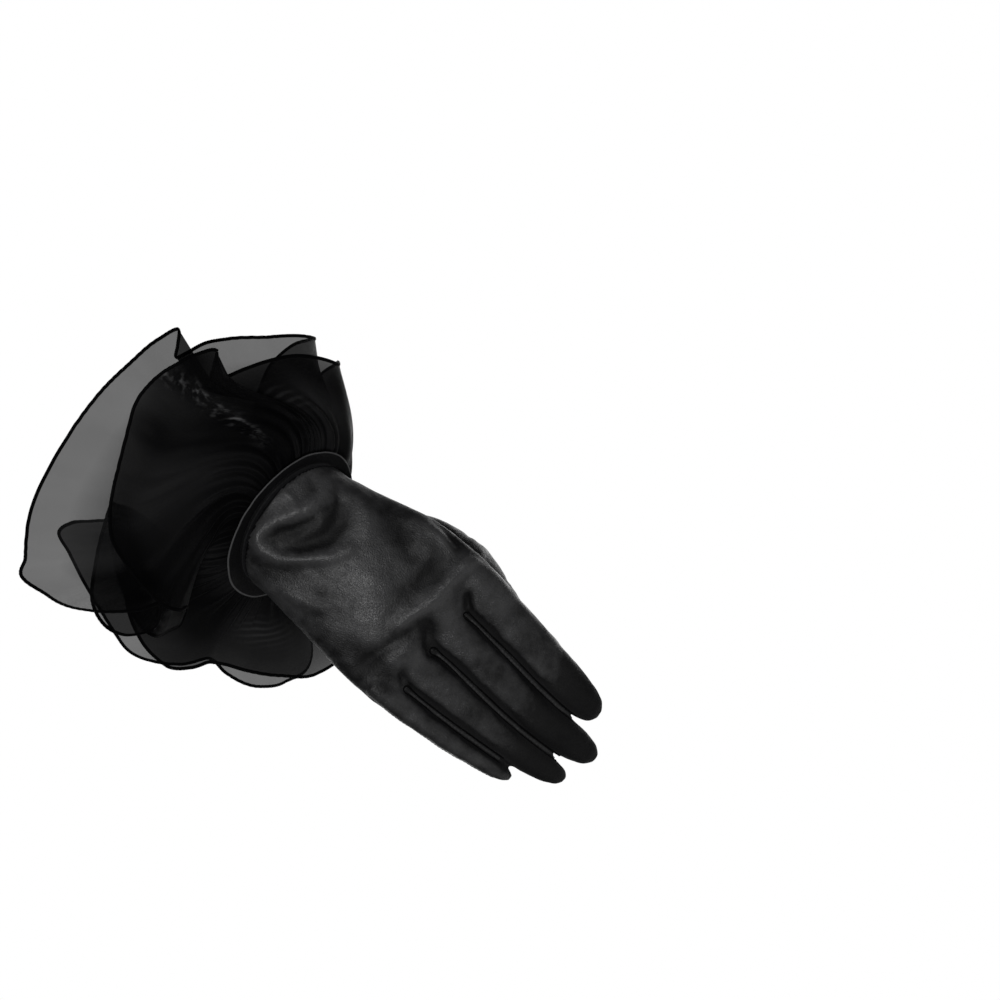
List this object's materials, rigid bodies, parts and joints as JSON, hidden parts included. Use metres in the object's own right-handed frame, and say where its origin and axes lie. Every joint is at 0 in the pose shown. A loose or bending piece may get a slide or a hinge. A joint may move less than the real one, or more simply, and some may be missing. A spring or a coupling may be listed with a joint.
{
  "type": "wrist length dress glove",
  "caption": "Satin dress glove for the right hand, ending at the wrist in a narrow turned lip and a gathered cuff of sheer organza tiers, shown in the form it has when worn.",
  "frame": {"origin": "middle of the wrist mouth, where the hand's cloth ends and the cuff begins", "axes": "-Z from the wrist to the fingertips, +X toward the index finger and thumb, -Y out of the back of the hand"},
  "size_m": [0.1524, 0.1443, 0.2541],
  "materials": {
    "satin": "charcoal black satin with a soft sheen",
    "turned_lip": "charcoal satin, folded over",
    "organza": "sheer black organza",
    "overlock": "dense black thread"
  },
  "bodies": {
    "root": {"trank": "satin", "thumb": "satin", "fourchette_index_middle": "satin", "fourchette_middle_ring": "satin", "fourchette_ring_little": "satin", "wrist_frill": "turned_lip", "frill_edge": "overlock", "ruffle_short": "organza", "ruffle_short_edge": "overlock", "ruffle_long": "organza", "ruffle_long_edge": "overlock"}
  },
  "joints": []
}
